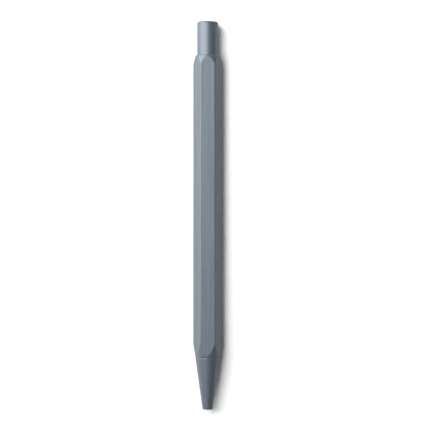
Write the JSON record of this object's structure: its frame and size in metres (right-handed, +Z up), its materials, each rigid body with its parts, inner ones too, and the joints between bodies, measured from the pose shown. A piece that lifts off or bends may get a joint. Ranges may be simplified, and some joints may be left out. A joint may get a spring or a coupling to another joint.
{
  "type": "push-button ballpoint pen",
  "caption": "Hexagonal metal ballpoint pen with a coned screw-on nose and a push button at the rear that clicks a spring-loaded refill out and in.",
  "frame": {"origin": "on the surface that the pen lies on, below the middle of its length", "axes": "+Y along the pen, from the nose to the push button; +Z up, out of the flat that it lies on; +X across the pen, towards a corner of the hexagon"},
  "size_m": [0.0104, 0.14, 0.0091],
  "materials": {
    "barrel_finish": "satin",
    "nose_finish": "satin",
    "button_finish": "satin",
    "sleeve_acetal": "satin",
    "cam_acetal": "satin",
    "rotor_acetal": "satin",
    "spring_steel": "polished",
    "tube_metal": "satin",
    "ink": "gloss",
    "point_metal": "satin",
    "ball_metal": "polished"
  },
  "bodies": {
    "barrel": {"barrel": "barrel_finish", "ratchet_sleeve": "sleeve_acetal"},
    "button": {"push_button": "button_finish", "thrust_cam": "cam_acetal"},
    "refill": {"refill_tube": "tube_metal", "ink_column": "ink", "writing_point": "point_metal"},
    "rotor": {"rotor_cam": "rotor_acetal"},
    "ball": {"writing_ball": "ball_metal"},
    "spring": {"return_spring": "spring_steel"},
    "nose": {"nose_cone": "nose_finish"}
  },
  "joints": [
    {"name": "button_press", "type": "slide", "parent": "barrel", "child": "button", "axis": [0, -1, 0], "range_m": [0, 0.0058], "stiffness_N_per_m": 300, "springref_m": -0.004, "deforming": ["return_spring"]},
    {"name": "refill_advance", "type": "slide", "parent": "barrel", "child": "refill", "axis": [0, -1, 0], "range_m": [0, 0.0058]},
    {"name": "rotor_turn", "type": "hinge", "parent": "refill", "child": "rotor", "pos_m": [0, 0.0409, 0.00455], "axis": [0, 1, 0], "range_deg": [0, 15]},
    {"name": "ball_roll", "type": "hinge", "parent": "refill", "child": "ball", "pos_m": [0, -0.0683, 0.00455], "axis": [1, 0, 0], "continuous": true},
    {"name": "nose_advance", "type": "slide", "parent": "barrel", "child": "spring", "axis": [0, -1, 0], "range_m": [0, 0.0045]},
    {"name": "nose_unscrew", "type": "hinge", "parent": "spring", "child": "nose", "pos_m": [0, -0.0513, 0.00455], "axis": [0, -1, 0], "range_deg": [0, 2160]}
  ],
  "couplings": [
    {"joint": "refill_advance", "follows": "button_press", "ratio": 1},
    {"joint": "rotor_turn", "follows": "button_press", "rad_per_m": 45.13},
    {"joint": "nose_unscrew", "follows": "nose_advance", "rad_per_m": 8377.6}
  ]
}
